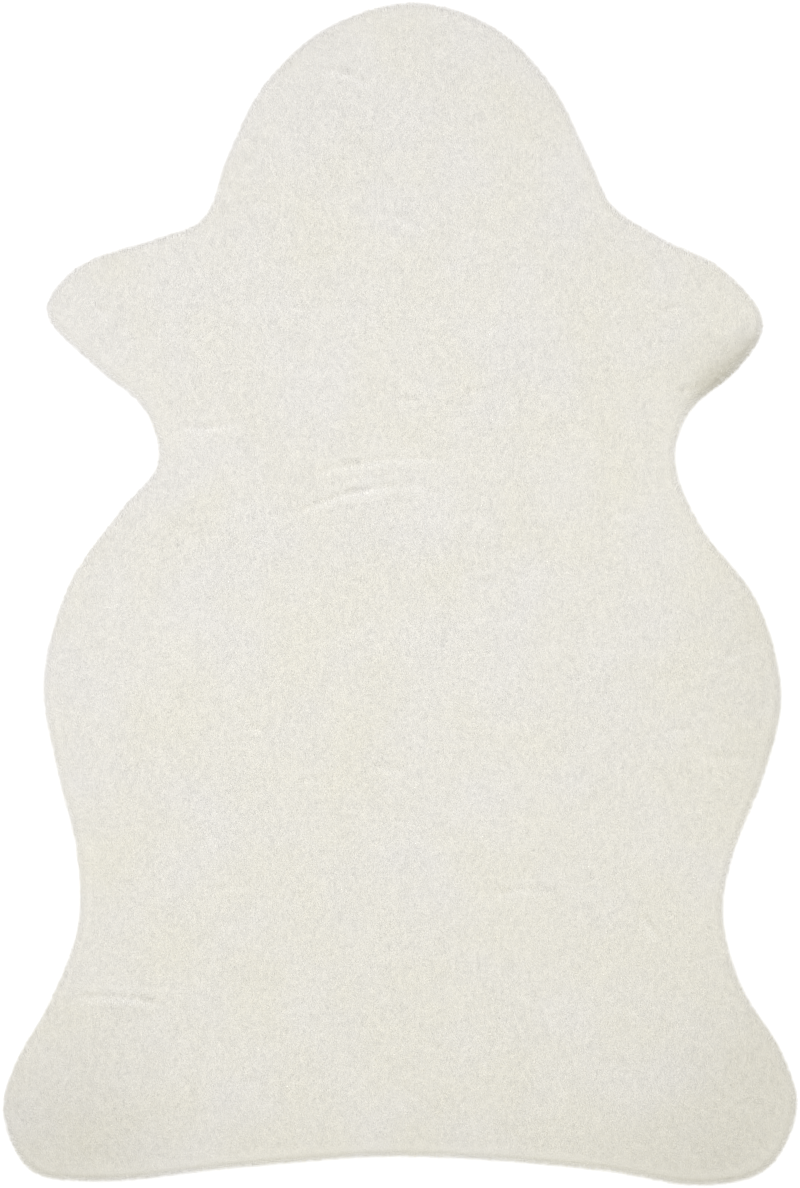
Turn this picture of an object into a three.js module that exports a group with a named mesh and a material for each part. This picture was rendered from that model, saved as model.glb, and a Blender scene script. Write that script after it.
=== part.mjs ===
// A dense short-pile rug cut to the outline of a pelt: a round head, two forelegs, a waist, broad hips
// and two hind legs. It is one piece of pile fabric, lying flat, so it is one solid that holds the base
// cloth and the pile together.
//
// Millimetres, +Z up, with the head towards +Y. The origin is the middle of the rug's box, on the floor.

import * as THREE from 'three';

// Heights and widths of the rug's section.
const pileHeight = 22; // base cloth and standing pile together
const reachHeight = 8; // height at which the pile leans out furthest past the base cloth
const clothInset = 10; // how far the base cloth's cut edge lies inside the pile's reach
const shoulderWidth = 18; // width of the rounded shoulder, from the pile's reach to the level top

// Fineness of the faceted solid.
const outlineSteps = 220;
const undersideSteps = 3;
const shoulderSteps = 6;

const ivory = { color: '#e8e6dd', roughness: 0.95, metalness: 0 };

// The pile's reach seen from above, anticlockwise from the crown. The left side of the table is the
// side at -X. The two sides differ, because a pelt is never quite even.
const outlinePlaces = [
  { place: 'crown', x: 12, y: 457 },
  { place: 'crown, left', x: -56, y: 438 },
  { place: 'brow, left', x: -106, y: 393 },
  { place: 'cheek, left', x: -134, y: 338 },
  { place: 'neck, left', x: -153, y: 290 },
  { place: 'foreleg root, left', x: -186, y: 276 },
  { place: 'foreleg top, left', x: -251, y: 252 },
  { place: 'foreleg tip, left', x: -274, y: 218 },
  { place: 'foreleg underside, left', x: -242, y: 180 },
  { place: 'armpit, left', x: -197, y: 140 },
  { place: 'waist, left', x: -188, y: 101 },
  { place: 'flank, left', x: -215, y: 67 },
  { place: 'upper hip, left', x: -256, y: 8 },
  { place: 'hip, left', x: -276, y: -68 },
  { place: 'lower hip, left', x: -266, y: -134 },
  { place: 'upper thigh, left', x: -250, y: -203 },
  { place: 'thigh, left', x: -250, y: -258 },
  { place: 'shin, left', x: -271, y: -314 },
  { place: 'upper foot, left', x: -299, y: -365 },
  { place: 'foot, left', x: -307, y: -400 },
  { place: 'heel, left', x: -286, y: -445 },
  { place: 'sole, left', x: -238, y: -454 },
  { place: 'hem, left', x: -120, y: -443 },
  { place: 'hem, middle', x: 0, y: -435 },
  { place: 'hem, right', x: 150, y: -445 },
  { place: 'sole, right', x: 236, y: -457 },
  { place: 'heel, right', x: 284, y: -444 },
  { place: 'foot, right', x: 307, y: -396 },
  { place: 'upper foot, right', x: 295, y: -353 },
  { place: 'shin, right', x: 264, y: -302 },
  { place: 'thigh, right', x: 250, y: -248 },
  { place: 'upper thigh, right', x: 257, y: -204 },
  { place: 'lower hip, right', x: 283, y: -136 },
  { place: 'hip, right', x: 295, y: -78 },
  { place: 'upper hip, right', x: 276, y: -5 },
  { place: 'flank, right', x: 232, y: 54 },
  { place: 'waist, right', x: 213, y: 104 },
  { place: 'armpit, right', x: 224, y: 140 },
  { place: 'foreleg underside, right', x: 262, y: 174 },
  { place: 'foreleg tip, right', x: 281, y: 209 },
  { place: 'foreleg top, right', x: 251, y: 250 },
  { place: 'foreleg root, right', x: 199, y: 277 },
  { place: 'neck, right', x: 164, y: 301 },
  { place: 'cheek, right', x: 147, y: 336 },
  { place: 'brow, right', x: 117, y: 394 },
  { place: 'crown, right', x: 74, y: 437 },
];

// Evenly spaced points of the pile's reach, centred on the origin, each with its outward direction.
function walkOutline() {
  const places = outlinePlaces.map(({ x, y }) => new THREE.Vector3(x, y, 0));
  const curve = new THREE.CatmullRomCurve3(places, true, 'centripetal');
  const points = curve.getSpacedPoints(outlineSteps).slice(0, -1);
  const middle = new THREE.Box3().setFromPoints(points).getCenter(new THREE.Vector3());
  return points.map((point, step) => {
    const along = curve.getTangentAt(step / outlineSteps);
    return { point: point.clone().sub(middle), outward: new THREE.Vector3(along.y, -along.x, 0) };
  });
}

// The section of the rug's edge from the floor up, as two quarter ellipses: the underside runs out from
// the base cloth's cut edge to the pile's reach, and the shoulder turns back in to the level top.
function edgeSection() {
  const section = [];
  for (let step = 0; step < undersideSteps; step += 1) {
    const turn = (step / undersideSteps) * (Math.PI / 2);
    section.push({ inset: clothInset * (1 - Math.sin(turn)), height: reachHeight * (1 - Math.cos(turn)) });
  }
  for (let step = 0; step <= shoulderSteps; step += 1) {
    const turn = (step / shoulderSteps) * (Math.PI / 2);
    section.push({
      inset: shoulderWidth * (1 - Math.cos(turn)),
      height: reachHeight + (pileHeight - reachHeight) * Math.sin(turn),
    });
  }
  return section;
}

// One closed solid: a ring of vertices for each row of the section, a flat underside and a level top.
function rugGeometry() {
  const walk = walkOutline();
  const rings = edgeSection().map(({ inset, height }) =>
    walk.map(({ point, outward }) => point.clone().addScaledVector(outward, -inset).setZ(height)));

  const corner = (ring, step) => ring * outlineSteps + (step % outlineSteps);
  const faces = [];
  for (let ring = 0; ring < rings.length - 1; ring += 1) {
    for (let step = 0; step < outlineSteps; step += 1) {
      faces.push([corner(ring, step), corner(ring, step + 1), corner(ring + 1, step + 1)]);
      faces.push([corner(ring, step), corner(ring + 1, step + 1), corner(ring + 1, step)]);
    }
  }

  const top = rings.length - 1;
  for (const [a, b, c] of THREE.ShapeUtils.triangulateShape(rings[0], [])) {
    faces.push([corner(0, a), corner(0, c), corner(0, b)]);
  }
  for (const [a, b, c] of THREE.ShapeUtils.triangulateShape(rings[top], [])) {
    faces.push([corner(top, a), corner(top, b), corner(top, c)]);
  }

  const geometry = new THREE.BufferGeometry().setFromPoints(rings.flat());
  geometry.setIndex(faces.flat());
  geometry.computeVertexNormals();
  return geometry;
}

const rug = new THREE.Mesh(rugGeometry(), new THREE.MeshStandardMaterial(ivory));
rug.name = 'pile_rug';

const part = new THREE.Group();
part.add(rug);

export default part;
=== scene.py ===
import math

import bpy
import numpy as np
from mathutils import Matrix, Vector
from mathutils.geometry import delaunay_2d_cdt


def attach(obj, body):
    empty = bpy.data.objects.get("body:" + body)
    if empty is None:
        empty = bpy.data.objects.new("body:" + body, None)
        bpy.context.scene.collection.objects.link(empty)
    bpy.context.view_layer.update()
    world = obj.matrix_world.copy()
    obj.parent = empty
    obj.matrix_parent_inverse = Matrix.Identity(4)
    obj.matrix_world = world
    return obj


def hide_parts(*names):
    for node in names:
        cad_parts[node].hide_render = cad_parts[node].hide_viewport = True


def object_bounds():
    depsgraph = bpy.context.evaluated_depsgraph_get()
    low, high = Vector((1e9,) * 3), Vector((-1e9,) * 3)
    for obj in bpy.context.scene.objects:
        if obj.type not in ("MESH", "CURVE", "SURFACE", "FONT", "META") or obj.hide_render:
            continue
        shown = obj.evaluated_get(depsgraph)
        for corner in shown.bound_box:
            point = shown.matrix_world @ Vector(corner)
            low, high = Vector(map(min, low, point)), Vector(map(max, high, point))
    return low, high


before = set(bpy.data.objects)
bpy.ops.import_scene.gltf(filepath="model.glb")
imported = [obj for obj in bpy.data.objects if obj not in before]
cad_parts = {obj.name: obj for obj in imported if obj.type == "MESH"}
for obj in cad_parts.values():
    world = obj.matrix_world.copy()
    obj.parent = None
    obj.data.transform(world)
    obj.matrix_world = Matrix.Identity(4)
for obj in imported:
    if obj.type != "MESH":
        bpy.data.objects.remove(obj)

mm = 0.001
cadLow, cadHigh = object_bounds()
print("frame loaded, box", [round(v, 4) for v in cadHigh])


def readReach(node):
    # the ring of corners that reaches furthest out, anticlockwise: each is in sight of the middle
    mesh = bpy.data.objects[node].data
    corners = np.empty(len(mesh.vertices) * 3)
    mesh.vertices.foreach_get("co", corners)
    corners = corners.reshape(-1, 3)
    levels = np.round(corners[:, 2], 4)
    widest = max(np.unique(levels), key=lambda level: np.ptp(corners[levels == level, 0]))
    ring = np.unique(np.round(corners[levels == widest, :2], 5), axis=0)
    return ring[np.argsort(np.arctan2(ring[:, 1], ring[:, 0]))]


def smoothRing(ring, parts):
    # a closed curve through the ring's points, with this many parts between each two
    before, after, beyond = np.roll(ring, 1, 0), np.roll(ring, -1, 0), np.roll(ring, -2, 0)
    a, b, c, d = (points[:, None] for points in (before, ring, after, beyond))
    t = (np.arange(parts) / parts)[None, :, None]
    curve = b + 0.5 * t * (c - a + t * (2 * a - 5 * b + 4 * c - d + t * (3 * (b - c) + d - a)))
    return curve.reshape(-1, 2)


def outwardOf(ring):
    along = np.roll(ring, -1, 0) - np.roll(ring, 1, 0)
    along /= np.linalg.norm(along, axis=1)[:, None]
    return np.stack([along[:, 1], -along[:, 0]], 1)


def areaOf(ring):
    x, y = ring.T
    return 0.5 * abs(np.dot(x, np.roll(y, -1)) - np.dot(y, np.roll(x, -1)))


reach = readReach("pile_rug")
print("outline of", len(reach), "corners, area", round(areaOf(reach), 4))


# One grid over the rug carries what changes from place to place, such as the height of the pile.
gridStep = 2 * mm
gridX = np.arange(cadLow[0] - 6 * mm, cadHigh[0] + 6 * mm, gridStep)
gridY = np.arange(cadLow[1] - 6 * mm, cadHigh[1] + 6 * mm, gridStep)


def measureInset(ring):
    # how far inside the outline each grid point lies, negative outside
    x, y = np.meshgrid(gridX, gridY)
    nearest = np.full(x.shape, np.inf)
    inside = np.zeros(x.shape, bool)
    for (ax, ay), (bx, by) in zip(ring, np.roll(ring, -1, 0)):
        ux, uy = bx - ax, (by - ay) or 1e-9
        t = np.clip(((x - ax) * ux + (y - ay) * uy) / (ux * ux + uy * uy), 0, 1)
        nearest = np.minimum(nearest, (x - ax - t * ux) ** 2 + (y - ay - t * uy) ** 2)
        inside ^= ((ay > y) != (by > y)) & (x < ax + (y - ay) * ux / uy)
    return np.where(inside, 1, -1) * np.sqrt(nearest)


def readGrid(grid, x, y):
    column = np.clip((x - gridX[0]) / gridStep, 0, grid.shape[1] - 1.001)
    row = np.clip((y - gridY[0]) / gridStep, 0, grid.shape[0] - 1.001)
    i, j = column.astype(int), row.astype(int)
    u, v = column - i, row - j
    low = grid[j, i] * (1 - u) + grid[j, i + 1] * u
    high = grid[j + 1, i] * (1 - u) + grid[j + 1, i + 1] * u
    return low * (1 - v) + high * v


latticeSize = 128  # random values each way, after which they repeat


def wander(x, y, size, seed):
    # smooth noise from -1 to 1, with swells about this size
    lattice = np.random.default_rng(seed).uniform(-1, 1, (latticeSize, latticeSize))
    column, row = x / size + 300.5, y / size + 300.5
    i, j = np.floor(column).astype(int), np.floor(row).astype(int)
    u, v = column - i, row - j
    u, v = u * u * (3 - 2 * u), v * v * (3 - 2 * v)
    right, up = (i + 1) % latticeSize, (j + 1) % latticeSize
    i, j = i % latticeSize, j % latticeSize
    low = lattice[j, i] * (1 - u) + lattice[j, right] * u
    high = lattice[up, i] * (1 - u) + lattice[up, right] * u
    return low * (1 - v) + high * v


def easeIn(value):
    value = np.clip(value, 0, 1)
    return value * value * (3 - 2 * value)


insetGrid = measureInset(smoothRing(reach, 2))
print("inset field", insetGrid.shape)


# How the pile lies.
lie = {
    "heading": 92,          # degrees from +X: the tips point to the head
    "headingSwell": 22,     # degrees either way over broad swells
    "headingSwellSize": 90 * mm,
    "headingRipple": 7,     # the same over small ones
    "headingRippleSize": 21 * mm,
    "lean": 62,             # degrees from upright
    "leanSwell": 3,
    "leanSwellSize": 60 * mm,
    "rimWidth": 11 * mm,    # the lie turns outward within this much of the outline
    "rimLean": 2.2,         # outward lean at the outline, as run over rise
    "swellHeight": 0.4 * mm,
    "swellSize": 85 * mm,
    "swellFade": 18 * mm,   # swells and creases fade out over this distance to the bulging edge
    "paintedLightWidth": 5.5 * mm,  # painted light: the fur within this much of the outline is painted paler, for light through its thin ends
    "paintedLightTone": 4.0,
    "edgeLift": 6.0,        # how far up the shading of the edge is turned, its tips being lit from above
}

crease = {
    "standBelow": 3.2 * mm,  # the tips stand up this far below each crease
    "standWidth": 2.6 * mm,
    "standShare": 0.65,      # how high they stand, beside the depth of the gap
    "gapAbove": 1.6 * mm,    # and the pile sinks this far above it
    "gapWidth": 2.0 * mm,
    "paintedLightTone": 18,          # painted light: how much paler the standing tips are painted, per millimetre
    "paintedShadeTone": 5,           # painted shade: how much darker the sunk ones are painted
    "scattered": 60,
    "clear": 30 * mm,        # how far the scattered ones stay inside the outline
    "seed": 11,
}

# The creases placed one by one, in millimetres and degrees: the middle, the length, the turn from +X, the
# bow towards the head, and how deep the gap is.
creases = [
    {"name": "waist, upper", "x": -15, "y": 98, "length": 118, "turn": 6, "bow": 7, "depth": 0.7},
    {"name": "waist, lower", "x": -37, "y": 73, "length": 100, "turn": 14, "bow": 7, "depth": 0.8},
    {"name": "left thigh", "x": -218, "y": -311, "length": 70, "turn": -4, "bow": 3, "depth": 0.9},
    {"name": "left flank", "x": -147, "y": 133, "length": 46, "turn": 4, "bow": -2, "depth": 0.6},
    {"name": "right hip", "x": 193, "y": -256, "length": 28, "turn": -50, "bow": 2, "depth": 0.7},
    {"name": "right belly", "x": 96, "y": -229, "length": 54, "turn": 3, "bow": 4, "depth": 0.5},
    {"name": "right foreleg", "x": 236, "y": 168, "length": 60, "turn": 22, "bow": -4, "depth": 0.7},
    {"name": "brow", "x": -42, "y": 398, "length": 44, "turn": -18, "bow": 5, "depth": 0.5},
]


def scatterCreases():
    # small faint ones all over, mostly across the rug
    rng = np.random.default_rng(crease["seed"])
    found = []
    while len(found) < crease["scattered"]:
        x, y = rng.uniform(cadLow[0], cadHigh[0]), rng.uniform(cadLow[1], cadHigh[1])
        length, turn, bow = rng.uniform(12, 40), rng.normal(0, 22), rng.uniform(-2, 4)
        if readGrid(insetGrid, x, y) > crease["clear"]:
            found.append({"x": x / mm, "y": y / mm, "length": length, "turn": turn, "bow": bow,
                          "depth": rng.uniform(0.15, 0.45)})
    return found


def creaseLift(x, y):
    # the step at each crease: the tips just below it stand up, and the pile just above it sinks
    lift = np.zeros(x.shape)
    for line in creases + scatterCreases():
        turn, half = math.radians(line["turn"]), line["length"] * mm / 2
        dx, dy = x - line["x"] * mm, y - line["y"] * mm
        along = (dx * math.cos(turn) + dy * math.sin(turn)) / half
        above = -dx * math.sin(turn) + dy * math.cos(turn) - line["bow"] * mm * (1 - along ** 2)
        ends = easeIn((1 - np.abs(along)) * 2.5)
        stand = crease["standShare"] * np.exp(-((above + crease["standBelow"]) / crease["standWidth"]) ** 2)
        gap = np.exp(-((above - crease["gapAbove"]) / crease["gapWidth"]) ** 2)
        lift += line["depth"] * mm * ends * (stand - gap)
    return lift


# Places where the pile's colour is made darker as painted shade: mostly the shade under the right foreleg's
# lifted edge and the light falling off towards the feet, the right flank and the tail. In millimetres and
# degrees: the middle, the length, the width and the turn from +X, and how dark.
paintedShadePlaces = [
    {"name": "under the foreleg", "x": 255, "y": 174, "length": 88, "width": 22, "turn": 42, "dark": 15},
    {"name": "above it", "x": 226, "y": 180, "length": 64, "width": 24, "turn": 24, "dark": 1.5},
    {"name": "left of the crown", "x": -66, "y": 425, "length": 56, "width": 26, "turn": 33, "dark": 1.2},
    {"name": "left thigh", "x": -214, "y": -318, "length": 66, "width": 12, "turn": -4, "dark": 1.2},
    {"name": "right flank", "x": 295, "y": -60, "length": 360, "width": 90, "turn": 90, "dark": 2.8},
    {"name": "left foot", "x": -300, "y": -420, "length": 230, "width": 140, "turn": 12, "dark": 5.0},
    {"name": "right foot", "x": 270, "y": -410, "length": 250, "width": 150, "turn": 60, "dark": 4.4},
    {"name": "tail edge", "x": 0, "y": -440, "length": 520, "width": 80, "turn": 0, "dark": 1.8},
]


def paintedShadeAt(x, y):
    # how much darker the painted shade makes the fur here, as steps of tone
    dark = np.zeros(x.shape)
    for place in paintedShadePlaces:
        turn = math.radians(place["turn"])
        dx, dy = x - place["x"] * mm, y - place["y"] * mm
        along = (dx * math.cos(turn) + dy * math.sin(turn)) / (place["length"] * mm / 2)
        across = (-dx * math.sin(turn) + dy * math.cos(turn)) / (place["width"] * mm / 2)
        dark += place["dark"] * np.exp(-along ** 4 - across ** 2)
    return dark


def paintedLightAt(x, y):
    # painted light at the outline: from 1 at the outline to 0 inside it
    return easeIn(1.6 * (1 - readGrid(insetGrid, x, y) / lie["paintedLightWidth"]))


cloth = {
    "thickness": 1.7 * mm,
    "lift": 0.2 * mm,  # clear of the floor's plane
    "grid": 14 * mm,
}

bed = {
    "height": 19.2 * mm,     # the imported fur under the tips
    "clothInset": 11 * mm,   # where it meets the base cloth's edge
    "reachInset": 2.8 * mm,  # where it bulges furthest
    "reachHeight": 15.5 * mm,
    "levelInset": 8 * mm,    # from here inward its top is level
    "levelGrid": 7 * mm,
    "edgeRings": 13,
    "partRun": 1.5,          # strands that lean less than this, run over rise, part and show it
    "partShade": 5,          # how much darker the ground is painted there, as painted shade
    # painted light: how much paler the ground is painted at the outline
    "paintedLightTone": 10,
}


def bedSection(turn):
    # the edge of the ground of the pile, as two quarter ellipses: from -90 degrees at the base cloth's edge
    # to 90 at the level top. Gives the inset, the height and how far the surface there faces out and up.
    out, up = np.cos(turn), np.sin(turn)
    under = turn < 0
    width = np.where(under, bed["clothInset"], bed["levelInset"]) - bed["reachInset"]
    clothTop = cloth["lift"] + cloth["thickness"]
    rise = np.where(under, bed["reachHeight"] - clothTop, bed["height"] - bed["reachHeight"])
    inset = bed["reachInset"] + width * (1 - out)
    height = bed["reachHeight"] + rise * up
    facing = np.stack([out * rise, up * width], -1)
    return inset, height, facing / np.linalg.norm(facing, axis=-1)[..., None]


def bedTop(x, y):
    # height of the ground of the pile away from its bulging edge
    inset = readGrid(insetGrid, x, y)
    run = np.clip((bed["levelInset"] - inset) / (bed["levelInset"] - bed["reachInset"]), 0, 1)
    shoulder = bed["reachHeight"] + (bed["height"] - bed["reachHeight"]) * np.sqrt(1 - run ** 2)
    swell = lie["swellHeight"] * wander(x, y, lie["swellSize"], 21)
    return shoulder + (swell + creaseLift(x, y)) * easeIn((inset - bed["reachInset"]) / lie["swellFade"])


creaseGrid = creaseLift(*np.meshgrid(gridX, gridY))
topGrid = bedTop(*np.meshgrid(gridX, gridY))
slopeY, slopeX = np.gradient(topGrid, gridStep)
outY, outX = np.gradient(-insetGrid, gridStep)
print("heights of the ground", topGrid.shape)


def liftShading(facing):
    lifted = facing + (0, 0, lie["edgeLift"])
    return lifted / np.linalg.norm(lifted, axis=1)[:, None]


def levelFacing(x, y):
    # which way the top of the pile faces
    facing = np.stack([-readGrid(slopeX, x, y), -readGrid(slopeY, x, y), np.ones(len(x))], 1)
    return liftShading(facing / np.linalg.norm(facing, axis=1)[:, None])


def leanAt(x, y, headingNoise, leanNoise):
    # run over rise of the strands, turning outward near the outline
    heading = np.radians(lie["heading"] + headingNoise
                         + lie["headingSwell"] * wander(x, y, lie["headingSwellSize"], 31)
                         + lie["headingRipple"] * wander(x, y, lie["headingRippleSize"], 32))
    leanSwell = lie["leanSwell"] * wander(x, y, lie["leanSwellSize"], 33)
    run = np.tan(np.radians(lie["lean"] + leanNoise + leanSwell))
    turned = easeIn(1 - readGrid(insetGrid, x, y) / lie["rimWidth"])
    outward = np.stack([readGrid(outX, x, y), readGrid(outY, x, y)], 1)
    nap = np.stack([np.cos(heading), np.sin(heading)], 1) * run[:, None]
    return nap * (1 - turned)[:, None] + outward * (lie["rimLean"] * turned)[:, None]


def makeMesh(name, points, faces, smooth=True):
    # faces is an array with the corners of each face in a row
    mesh = bpy.data.meshes.new(name)
    mesh.vertices.add(len(points))
    mesh.vertices.foreach_set("co", np.ascontiguousarray(points, np.float32).ravel())
    mesh.loops.add(faces.size)
    mesh.loops.foreach_set("vertex_index", faces.astype(np.int32).ravel())
    mesh.polygons.add(len(faces))
    mesh.polygons.foreach_set("loop_start", np.arange(0, faces.size, faces.shape[1], dtype=np.int32))
    mesh.polygons.foreach_set("use_smooth", np.full(len(faces), smooth))
    mesh.update(calc_edges=True)
    piece = bpy.data.objects.new(name, mesh)
    bpy.context.scene.collection.objects.link(piece)
    return piece


def setAttribute(piece, name, values):
    kind, field = ("FLOAT", "value") if values.ndim == 1 else ("FLOAT_VECTOR", "vector")
    attribute = piece.data.attributes.new(name, kind, "POINT")
    attribute.data.foreach_set(field, values.astype(np.float32).ravel())


def countTriangles(*pieces):
    return sum(len(piece.data.loops) - 2 * len(piece.data.polygons) for piece in pieces)


def ringFaces(rings, around):
    # triangles between neighbouring rings of corners, outward if the rings climb from the underside
    ring, step = np.meshgrid(np.arange(rings - 1), np.arange(around), indexing="ij")
    a = (ring * around + step).ravel()
    b = (ring * around + (step + 1) % around).ravel()
    return np.concatenate([np.stack([a, b, b + around], 1), np.stack([a, b + around, a + around], 1)])


def fillRing(ring, spacing, margin):
    # even triangles inside a ring: the ring's points come first, then a grid at least a margin inside it
    x, y = np.meshgrid(np.arange(cadLow[0], cadHigh[0], spacing), np.arange(cadLow[1], cadHigh[1], spacing))
    x, y = x.ravel(), y.ravel()
    edge = readGrid(insetGrid, *ring.T).mean()
    inside = readGrid(insetGrid, x, y) > edge + margin
    points = np.concatenate([ring, np.column_stack([x, y])[inside]])
    sides = [(k, (k + 1) % len(ring)) for k in range(len(ring))]
    corners = [Vector(point) for point in points.tolist()]
    faces, sources = delaunay_2d_cdt(corners, sides, [], 1, 1e-7)[2:4]
    faces = np.array([[sources[corner][0] for corner in face] for face in faces])
    a, b, c = points[faces].transpose(1, 0, 2)
    turned = (b - a)[:, 0] * (c - a)[:, 1] - (b - a)[:, 1] * (c - a)[:, 0] < 0
    faces[turned] = faces[turned][:, ::-1]
    return points, faces


def buildCloth():
    # a closed slab: its top and underside, and a strip round the edge
    edge = smoothRing(reach - outwardOf(reach) * bed["clothInset"], 2)
    points, faces = fillRing(edge, cloth["grid"], cloth["grid"] * 0.4)
    count = len(points)
    low, high = cloth["lift"], cloth["lift"] + cloth["thickness"]
    underside = np.column_stack([points, np.full(count, low)])
    topside = np.column_stack([points, np.full(count, high)])
    a = np.arange(len(edge))
    b = (a + 1) % len(edge)
    strip = np.concatenate([np.stack([a, b, b + count], 1), np.stack([a, b + count, a + count], 1)])
    faces = np.concatenate([faces[:, ::-1], faces + count, strip])
    return makeMesh("base_cloth", np.concatenate([underside, topside]), faces, smooth=False), areaOf(edge)


baseCloth, clothArea = buildCloth()
print("base cloth", countTriangles(baseCloth), "triangles, area", round(clothArea, 4))


def buildGround():
    # the bulging edge, ring by ring, then the level top
    edge = smoothRing(reach, 2)
    outward = outwardOf(edge)
    rings = []
    for turn in np.radians(np.linspace(-90, 90, bed["edgeRings"])):
        inset, height, _ = bedSection(turn)
        ring = edge - outward * inset
        rings.append(np.column_stack([ring, np.full(len(ring), height)]))
    around, count = len(edge), len(rings)
    level, levelFaces = fillRing(rings.pop()[:, :2], bed["levelGrid"], 3 * mm)
    rings.append(np.column_stack([level, bedTop(*level.T)]))
    faces = np.concatenate([ringFaces(count, around), levelFaces + (count - 1) * around])
    points = np.concatenate(rings)
    x, y, _ = points.T
    parted = np.clip(1 - np.linalg.norm(leanAt(x, y, 0, 0), axis=1) / bed["partRun"], 0, 1)
    piece = makeMesh("pile_ground", points, faces)
    # the ground's tone: painted light at the outline, painted shade where strands part and at the places of
    # painted shade
    setAttribute(piece, "tone", bed["paintedLightTone"] * paintedLightAt(x, y) - bed["partShade"] * parted - paintedShadeAt(x, y))
    return piece


pileGround = buildGround()
print("ground of the pile", countTriangles(pileGround), "triangles")


strands = {
    "fieldSpacing": 1.235 * mm,
    "fieldTurn": 33,         # degrees, so that no row of roots runs along the lie of the pile
    "fieldReach": 0.6,       # half the width of the grid of roots, past the rug's corners
    "fieldInset": 7 * mm,    # the field meets the rim's strands here
    "length": 8 * mm,
    "rise": 2.5 * mm,        # strands that stand up are shorter, so the tips stay level
    "girth": 0.35 * mm,      # half the width at the root
    "flatness": 0.45,        # thickness of a strand beside its width
    "sink": 0.8 * mm,        # the root is this far down in the ground
    "undercoatShare": 0.5,   # of the field's strands
    "undercoatLength": 0.7,  # beside the others
    "tuftSize": 4.5 * mm,
    "tuftPull": 0.12,        # how far the tips of a tuft draw together
    "tuftHeading": 4,        # degrees that a whole tuft turns from the lie of the pile,
    "hairHeading": 6,        # and each of its strands
    "tuftLean": 1,
    "hairLean": 1.5,
    "tuftLength": 0.03,      # how much longer or shorter a whole tuft is,
    "hairLength": 0.06,      # and each of its strands
    "tuftTone": 0.25,
    "hairTone": 0.3,
    "roundness": 0.15,       # how far a strand's own shape turns its shading
    "overhang": 1.2 * mm,    # tips stay within this much of the outline
    "bands": 24,             # rows of each piece's map
    "seed": 7,
}

rim = {
    "spacing": 1.13 * mm,
    "length": 4.2 * mm,
    "stand": 0.75,     # how far a strand follows the way that the edge faces there,
    "out": 0.55,       # how far it points straight out,
    "droop": 0.42,     # how far down at least,
    "droopMore": 0.25,
    "aside": 0.16,     # and how far to either side
    "tuftHeading": 9,
    "hairHeading": 8,
    "tuftLean": 3,
    "tuftLength": 0.12,
    "hairLength": 0.14,
    "bulge": 8 * mm,   # the edge's radius, for the size of the tufts there
    "clear": 0.5 * mm,  # the lowest that a tip hangs
}


def tuftOf(x, y, size, seed):
    # the nearest tuft's middle, and a number for each strand's tuft
    shift = np.random.default_rng(seed).uniform(0.1, 0.9, (latticeSize, latticeSize, 2))
    i, j = np.floor(x / size).astype(int), np.floor(y / size).astype(int)
    nearest = np.full(len(x), np.inf)
    middle, tuft = np.zeros((len(x), 2)), np.zeros(len(x), int)
    for di in (-1, 0, 1):
        for dj in (-1, 0, 1):
            column, row = (i + di) % latticeSize, (j + dj) % latticeSize
            here = (np.stack([i + di, j + dj], 1) + shift[row, column]) * size
            away = (here[:, 0] - x) ** 2 + (here[:, 1] - y) ** 2
            closer = away < nearest
            nearest[closer], middle[closer] = away[closer], here[closer]
            tuft[closer] = (row * latticeSize + column)[closer]
    return middle, tuft


def trimTips(root, tip, rng):
    # strands that would reach past the outline are shorter
    inset, tipInset = readGrid(insetGrid, *root[:, :2].T), readGrid(insetGrid, *tip[:, :2].T)
    allowed = strands["overhang"] * rng.uniform(-0.6, 1, len(root))
    share = (inset + allowed) / np.maximum(inset - tipInset, 0.01 * mm)
    share = np.where(tipInset < -allowed, np.clip(share, 0.2, 1), 1)
    return root + (tip - root) * share[:, None]


def toneOf(root, tuftNoise, rng):
    # steps of tone, lighter or darker at random by the tuft and the strand, and darker by the place's
    # painted shade
    tone = strands["tuftTone"] * tuftNoise + rng.normal(0, strands["hairTone"], len(root))
    return tone - paintedShadeAt(root[:, 0], root[:, 1]) * (1 + 0.3 * tuftNoise)


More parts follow.
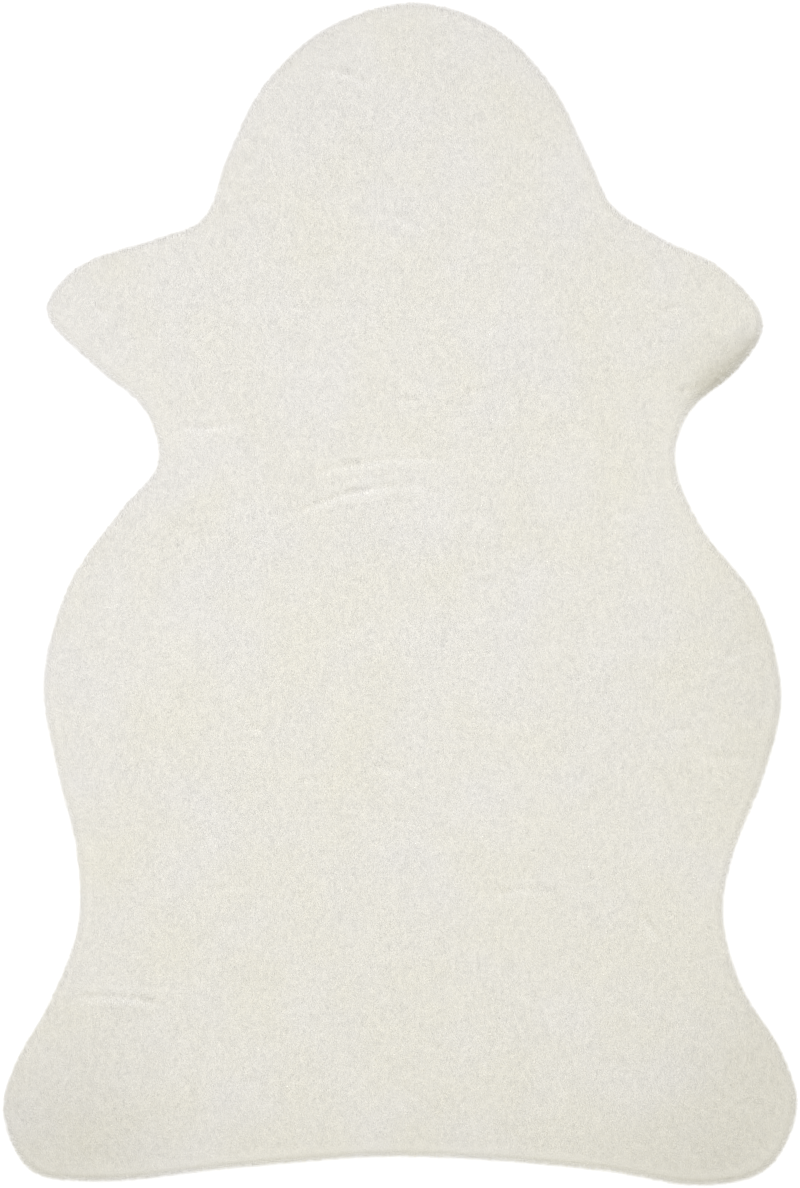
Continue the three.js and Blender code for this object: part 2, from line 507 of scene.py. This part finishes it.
def fieldStrands(rng):
    # roots on a jittered grid inside the rim, its rows askew to the lie of the pile
    spacing, turn = strands["fieldSpacing"], math.radians(strands["fieldTurn"])
    line = np.arange(-strands["fieldReach"], strands["fieldReach"], spacing)
    grids = np.meshgrid(line, line)
    u, v = (grid.ravel() + rng.uniform(-0.5, 0.5, grid.size) * spacing for grid in grids)
    x, y = u * math.cos(turn) - v * math.sin(turn), u * math.sin(turn) + v * math.cos(turn)
    inside = (np.abs(x) < cadHigh[0]) & (np.abs(y) < cadHigh[1])
    x, y = x[inside], y[inside]
    inside = readGrid(insetGrid, x, y) > strands["fieldInset"]
    x, y = x[inside], y[inside]
    middle, tuft = tuftOf(x, y, strands["tuftSize"], 41)
    tuftNoise = rng.normal(0, 1, (latticeSize ** 2, 4))[tuft]
    count = len(x)
    headingNoise = strands["tuftHeading"] * tuftNoise[:, 0] + rng.normal(0, strands["hairHeading"], count)
    leanNoise = strands["tuftLean"] * tuftNoise[:, 1] + rng.normal(0, strands["hairLean"], count)
    way = np.column_stack([leanAt(x, y, headingNoise, leanNoise), np.ones(count)])
    way /= np.linalg.norm(way, axis=1)[:, None]
    length = np.minimum(strands["length"], strands["rise"] / way[:, 2])
    length *= 1 + strands["tuftLength"] * tuftNoise[:, 2] + rng.normal(0, strands["hairLength"], count)
    undercoat = rng.random(count) < strands["undercoatShare"]
    length *= np.where(undercoat, strands["undercoatLength"], 1)
    root = np.column_stack([x, y, readGrid(topGrid, x, y) - strands["sink"]])
    tip = root + way * length[:, None]
    tip[:, :2] += (middle - root[:, :2]) * strands["tuftPull"]
    tone = toneOf(root, tuftNoise[:, 3], rng)
    # painted light on the tips that stand up below a crease, painted shade on those sunk above it
    lift = readGrid(creaseGrid, *tip[:, :2].T) / mm
    tone += lift * np.where(lift > 0, crease["paintedLightTone"], crease["paintedShadeTone"])
    return root, trimTips(root, tip, rng), levelFacing(x, y), tone, undercoat


def rimStrands(rng):
    # roots on a jittered grid laid over the bulging edge, from the base cloth's edge up to the field
    edge = smoothRing(reach, 8)
    outward = outwardOf(edge)
    gaps = np.linalg.norm(np.roll(edge, -1, 0) - edge, axis=1)
    along = np.concatenate([[0], np.cumsum(gaps)])
    turns = np.radians(np.linspace(-80, 90, 400))  # round the bulge, in fine steps
    inset, height, _ = bedSection(turns)
    keep = (turns < 0) | (inset < strands["fieldInset"])
    turns, inset, height = turns[keep], inset[keep], height[keep]
    down = np.concatenate([[0], np.cumsum(np.hypot(np.diff(inset), np.diff(height)))])
    columns, rows = (int(run[-1] / rim["spacing"]) for run in (along, down))
    column, row = (grid.ravel() for grid in np.meshgrid(np.arange(columns), np.arange(rows)))
    s = (column + rng.uniform(0, 1, column.size)) / columns * along[-1]
    turn = np.interp((row + rng.uniform(0, 1, row.size)) / rows * down[-1], down, turns)
    ring, ringOut = np.vstack([edge, edge[:1]]), np.vstack([outward, outward[:1]])
    place = np.stack([np.interp(s, along, ring[:, k]) for k in (0, 1)], 1)
    out = np.stack([np.interp(s, along, ringOut[:, k]) for k in (0, 1)], 1)
    out /= np.linalg.norm(out, axis=1)[:, None]
    inset, height, facing = bedSection(turn)
    root = np.column_stack([place - out * inset[:, None], height])
    normal = np.column_stack([out * facing[:, :1], facing[:, 1]])
    root -= normal * strands["sink"] * 0.7
    count = len(turn)
    top = easeIn(np.sin(turn))
    _, tuft = tuftOf(s, turn * rim["bulge"], strands["tuftSize"], 42)
    tuftNoise = rng.normal(0, 1, (latticeSize ** 2, 4))[tuft]
    headingNoise = rim["tuftHeading"] * tuftNoise[:, 0] + rng.normal(0, rim["hairHeading"], count)
    lean = leanAt(root[:, 0], root[:, 1], headingNoise, rim["tuftLean"] * tuftNoise[:, 1])
    field = np.column_stack([lean, np.ones(count)])
    field /= np.linalg.norm(field, axis=1)[:, None]
    aside = rim["aside"] * tuftNoise[:, 1] + rng.normal(0, rim["aside"], count)
    sideways = np.stack([-out[:, 1], out[:, 0]], 1) * aside[:, None]
    droop = -rim["droop"] - rim["droopMore"] * rng.random(count)
    edgeWay = normal * rim["stand"] + np.column_stack([out * rim["out"] + sideways, droop])
    edgeWay /= np.linalg.norm(edgeWay, axis=1)[:, None]
    way = edgeWay * (1 - top)[:, None] + field * top[:, None]
    way /= np.linalg.norm(way, axis=1)[:, None]
    length = np.minimum(strands["length"], strands["rise"] / np.maximum(way[:, 2], 0.2))
    length = rim["length"] + (length - rim["length"]) * top ** 1.5
    length *= 1 + rim["tuftLength"] * tuftNoise[:, 2] + rng.normal(0, rim["hairLength"], count)
    tip = trimTips(root, root + way * length[:, None], rng)
    tip[:, 2] = np.maximum(tip[:, 2], rim["clear"])
    # painted light: tips near the outline are painted paler
    tone = toneOf(root, tuftNoise[:, 3], rng) + lie["paintedLightTone"] * paintedLightAt(tip[:, 0], tip[:, 1])
    return root, tip, liftShading(normal), tone, np.zeros(count, bool)


def strandPiece(name, root, tip, normal, tone, undercoat, rng):
    # each strand is a slim three-sided spike, open only at the root, down in the ground
    count = len(root)
    axis = tip - root
    axis /= np.linalg.norm(axis, axis=1)[:, None]
    side = np.cross(normal, axis)
    side /= np.linalg.norm(side, axis=1)[:, None] + 1e-9
    rise = np.cross(axis, side)
    upright = np.clip(axis[:, 2], 0, 1) ** 2  # strands that stand up are thicker
    girth = strands["girth"] * rng.uniform(0.8, 1.2, count) * (0.85 + 0.8 * upright)
    points, normals = np.empty((count, 4, 3)), np.empty((count, 4, 3))
    for k in range(3):
        turn = np.radians(-90 + 120 * k) + rng.uniform(-0.5, 0.5, count)
        spread = side * np.cos(turn)[:, None] + rise * (np.sin(turn) * strands["flatness"])[:, None]
        points[:, k] = root + spread * girth[:, None]
        share = strands["roundness"] if k else 1  # the first corner is the underside
        normals[:, k] = normal * (1 - share) + spread * share
    points[:, 3] = tip
    normals[:, 3] = normal * (1 - 0.4 * strands["roundness"]) + axis * 0.4 * strands["roundness"]
    # an undercoat strand is blunt: its first corner stands on the ground right below the tip
    foot = tip * (1, 1, 0) + (root + (0, 0, 0.2 * mm)) * (0, 0, 1)
    points[undercoat, 0] = foot[undercoat]
    normals[undercoat, 0] = normals[undercoat, 3]
    normals /= np.linalg.norm(normals, axis=2)[:, :, None]
    first = 4 * np.arange(count)[:, None]
    faces = np.concatenate([first + (0, 1, 3), first + (1, 2, 3), first + (2, 0, 3)], 1).reshape(-1, 3)
    piece = makeMesh(name, points.reshape(-1, 3), faces)
    setAttribute(piece, "custom_normal", normals.reshape(-1, 3))
    setAttribute(piece, "tone", np.repeat(tone, 4))
    setAttribute(piece, "along", np.tile([0, 0, 0, 1.0], count))

    # its map: across the rug one way, and in each band from root to tip the other way
    low, high = root[:, 1].min() - mm, root[:, 1].max() + mm
    band = np.floor((root[:, 1] - low) / (high - low) * strands["bands"])
    margin, halfWidth = 4 * mm, 0.7 * mm
    width = cadHigh[0] - cadLow[0] + 2 * margin
    u = (root[:, 0] - cadLow[0] + margin) / width
    across = np.stack([u - halfWidth / width, u, u + halfWidth / width, u], 1)
    upward = np.stack([band + 0.04, band + 0.04, band + 0.04, band + 0.96], 1) / strands["bands"]
    places = np.stack([across, upward], 2).reshape(-1, 2)[faces.ravel()]
    piece.data.uv_layers.new(name="OFBake").data.foreach_set("uv", places.astype(np.float32).ravel())
    return piece


def buildPile():
    rng = np.random.default_rng(strands["seed"])
    groups = [fieldStrands(rng), rimStrands(rng)]
    arrays = [np.concatenate(parts) for parts in zip(*groups)]
    order = np.argsort(-arrays[0][:, 1])
    names = ["pile_head", "pile_forelegs", "pile_hips", "pile_thighs", "pile_feet"]
    return [strandPiece(name, *(array[part] for array in arrays), rng)
            for name, part in zip(names, np.array_split(order, len(names)))]


pilePieces = buildPile()
for piece in pilePieces:
    print(piece.name, countTriangles(piece), "triangles")
print("in all", countTriangles(baseCloth, pileGround, *pilePieces), "triangles")


class Wire:
    # an output socket, so that shader maths reads as sums
    def __init__(self, paint, socket):
        self.paint, self.socket = paint, socket

    def math(self, operation, first, second):
        return self.paint.node("ShaderNodeMath", {"operation": operation}, {0: first, 1: second})

    def __add__(self, other):
        return self.math("ADD", self, other)

    def __mul__(self, other):
        return self.math("MULTIPLY", self, other)

    def __sub__(self, other):
        return self.math("SUBTRACT", self, other)

    def __rsub__(self, other):
        return self.math("SUBTRACT", other, self)

    __radd__ = __add__
    __rmul__ = __mul__


class Paint:
    # the nodes of one material, or of the world
    def __init__(self, owner):
        self.owner = owner
        owner.use_nodes = True
        self.tree = owner.node_tree
        self.tree.nodes.clear()

    def node(self, kind, settings=None, values=None, output=0):
        made = self.tree.nodes.new(kind)
        for key, value in (settings or {}).items():
            setattr(made, key, value)
        for key, value in (values or {}).items():
            if isinstance(value, Wire):
                self.tree.links.new(value.socket, made.inputs[key])
            else:
                made.inputs[key].default_value = value
        return Wire(self, made.outputs[output]) if made.outputs else made

    def attribute(self, name):
        return self.node("ShaderNodeAttribute", {"attribute_name": name}, output=2)

    def place(self):
        return self.node("ShaderNodeTexCoord", output=3)

    def parts(self, vector):
        made = self.node("ShaderNodeSeparateXYZ", None, {0: vector}).socket.node
        return [Wire(self, socket) for socket in made.outputs]

    def noise(self, place, scale, detail=2):
        return self.node("ShaderNodeTexNoise", None, {"Vector": place, "Scale": scale, "Detail": detail})

    def mixColors(self, factor, first, second, blend="MIX"):
        return self.node("ShaderNodeMix", {"data_type": "RGBA", "blend_type": blend},
                         {0: factor, 6: first, 7: second}, output=2)

    def finish(self, surface):
        self.node("ShaderNodeOutputMaterial", None, {"Surface": surface})
        return self.owner


ivory = {
    "warm": (0.938, 0.915, 0.829, 1),
    "cool": (0.938, 0.920, 0.893, 1),
    "shade": (0.890, 0.860, 0.770, 1),  # painted shade, down between the strands
    "mottleSize": 60 * mm,
    "drift": 0.28,                      # how much warmer it gets towards the right foot, per metre
    "rootShare": 0.30,
    "ground": (0.66, 0.64, 0.57, 1),    # the fur packed under the strands, painted as dark as the shade in deep fur looks
    "groundShare": 0.45,
    "grains": 900,                      # of the stipple, to the metre
    "toneDepth": (0.015, 0.0155, 0.018),  # what a step of tone does to red, green and blue
}


def ivoryColor(paint, deepColor, deepShare, tone):
    # warm and cool patches, a deeper colour of painted shade down in the pile, and darker or lighter by the
    # tone
    place = paint.place()
    patch = paint.noise(place, 1 / ivory["mottleSize"], 3)
    x, y, _ = paint.parts(place)
    patch = patch - x * ivory["drift"] + y * ivory["drift"]
    patch = paint.node("ShaderNodeMapRange", None, {0: patch, 1: 0.3, 2: 0.7, 3: 0.0, 4: 1.0})
    color = paint.mixColors(patch, ivory["warm"], ivory["cool"])
    color = paint.mixColors(deepShare, color, deepColor)
    red, green, blue = (1 + tone * depth for depth in ivory["toneDepth"])
    tint = paint.node("ShaderNodeCombineColor", None, {0: red, 1: green, 2: blue})
    return paint.mixColors(1.0, color, tint, "MULTIPLY")


def strandFinish():
    paint = Paint(bpy.data.materials.new("ivory_strands"))
    # painted shade, deepening towards each strand's root
    deepShare = (1 - paint.attribute("along")) * ivory["rootShare"]
    surface = paint.node("ShaderNodeBsdfPrincipled", None, {
        "Base Color": ivoryColor(paint, ivory["shade"], deepShare, paint.attribute("tone")),
        "Roughness": 0.8,
        "Specular IOR Level": 0.25,
        "Sheen Weight": 0.15,
        "Sheen Roughness": 0.5,
    })
    return paint.finish(surface)


def groundFinish():
    # the same fur deeper down, painted darker as its shade, with a fine stipple of strand roots
    paint = Paint(bpy.data.materials.new("ivory_ground"))
    stipple = paint.noise(paint.place(), ivory["grains"], 2)
    stipple = paint.node("ShaderNodeMapRange", None, {0: stipple, 1: 0.3, 2: 0.7, 3: -1.5, 4: 1.5})
    tone = stipple + paint.attribute("tone")
    bump = paint.node("ShaderNodeBump", None, {"Strength": 0.3, "Distance": 0.6 * mm, "Height": stipple})
    surface = paint.node("ShaderNodeBsdfPrincipled", None, {
        "Base Color": ivoryColor(paint, ivory["ground"], ivory["groundShare"], tone),
        "Roughness": 0.9,
        "Specular IOR Level": 0.2,
        "Normal": bump,
    })
    return paint.finish(surface)


back = {
    "color": (0.800, 0.780, 0.720, 1),
    "shade": (0.640, 0.610, 0.545, 1),
    "wale": 1.6 * mm,    # width of one column of knit stitches
    "course": 1.2 * mm,  # height of one row
    "wobble": {"Distortion": 0.6, "Detail": 1.0, "Detail Scale": 2.0},
}


def stitchLines(paint, place, direction, pitch):
    # a wave repeats about 3.2 times per metre for each unit of its scale
    scale = 1 / pitch / 3.2
    return paint.node("ShaderNodeTexWave", {"bands_direction": direction, "wave_profile": "SIN"},
                      {"Vector": place, "Scale": scale, **back["wobble"]}, output=1)


def backFinish():
    # a knitted back: columns of stitches along the rug, with rows across them
    paint = Paint(bpy.data.materials.new("knitted_back"))
    place = paint.place()
    columns = stitchLines(paint, place, "X", back["wale"])
    rows = stitchLines(paint, place, "Y", back["course"])
    stitch = columns * 0.6 + rows * 0.4
    fluff = paint.noise(place, 140, 4)
    color = paint.mixColors(stitch * 0.7 + fluff * 0.3, back["shade"], back["color"])
    bump = paint.node("ShaderNodeBump", None, {"Strength": 0.5, "Distance": 0.5 * mm, "Height": stitch})
    surface = paint.node("ShaderNodeBsdfPrincipled", None, {
        "Base Color": color,
        "Roughness": 0.92,
        "Specular IOR Level": 0.2,
        "Normal": bump,
    })
    return paint.finish(surface)


strandMaterial = strandFinish()
for piece in pilePieces:
    piece.data.materials.append(strandMaterial)
pileGround.data.materials.append(groundFinish())
baseCloth.data.materials.append(backFinish())
print("finishes made")


studio = {
    "floorSize": 12,
    "floorColor": (0.93, 0.93, 0.93, 1),
    "floorGlow": 0.43,              # to the eye only: the floor reads white and keeps the shadow
    "worldStrength": 0.618,
    "keyFrom": (-0.10, 0.10, 1.5),  # over the shoulders, to the left
    "keySize": 1.6,
    "keyPower": 14.75,
    "lens": 100,
    "sensor": 36,
    "frameLength": 1.00508,         # beside the rug's length
    "pileLevel": 8 * mm,            # the camera's distance is measured from here
}


def buildFloor():
    half = studio["floorSize"] / 2
    points = np.array([[-half, -half, 0], [half, -half, 0], [half, half, 0], [-half, half, 0]])
    floor = makeMesh("floor", points, np.array([[0, 1, 2, 3]]))
    paint = Paint(bpy.data.materials.new("pale_floor"))
    seen = paint.node("ShaderNodeLightPath")
    surface = paint.node("ShaderNodeBsdfPrincipled", None, {
        "Base Color": studio["floorColor"],
        "Roughness": 0.9,
        "Specular IOR Level": 0.0,
        "Emission Color": (1, 1, 1, 1),
        "Emission Strength": seen * studio["floorGlow"],
    })
    floor.data.materials.append(paint.finish(surface))


def buildLight():
    # a white background to the eye, and a dimmer one as light
    scene = bpy.context.scene
    scene.world = bpy.data.worlds.new("studio")
    paint = Paint(scene.world)
    seen = paint.node("ShaderNodeLightPath")
    strength = seen * (1 - studio["worldStrength"]) + studio["worldStrength"]
    background = paint.node("ShaderNodeBackground", None, {"Color": (1, 1, 1, 1), "Strength": strength})
    paint.node("ShaderNodeOutputWorld", None, {"Surface": background})

    lamp = bpy.data.lights.new("key", "AREA")
    lamp.size, lamp.energy = studio["keySize"], studio["keyPower"]
    key = bpy.data.objects.new("key", lamp)
    scene.collection.objects.link(key)
    key.location = studio["keyFrom"]
    aim = -key.location.copy()
    key.rotation_euler = aim.to_track_quat("-Z", "Y").to_euler()


def buildCamera():
    # straight above, the head at the top of the frame
    scene = bpy.context.scene
    data = bpy.data.cameras.new("camera")
    data.lens, data.sensor_width = studio["lens"], studio["sensor"]
    camera = bpy.data.objects.new("camera", data)
    scene.collection.objects.link(camera)
    frameLength = studio["frameLength"] * (cadHigh[1] - cadLow[1])
    distance = frameLength * studio["lens"] / studio["sensor"]
    camera.location = (0, 0, distance + studio["pileLevel"])
    scene.camera = camera


buildFloor()
buildLight()
buildCamera()
bpy.context.scene.view_settings.view_transform = "Standard"
print("studio ready")


# The frame is told which pieces these are and what they stand for.
for piece in [baseCloth, pileGround, *pilePieces]:
    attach(piece, "root")
    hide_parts("pile_rug")
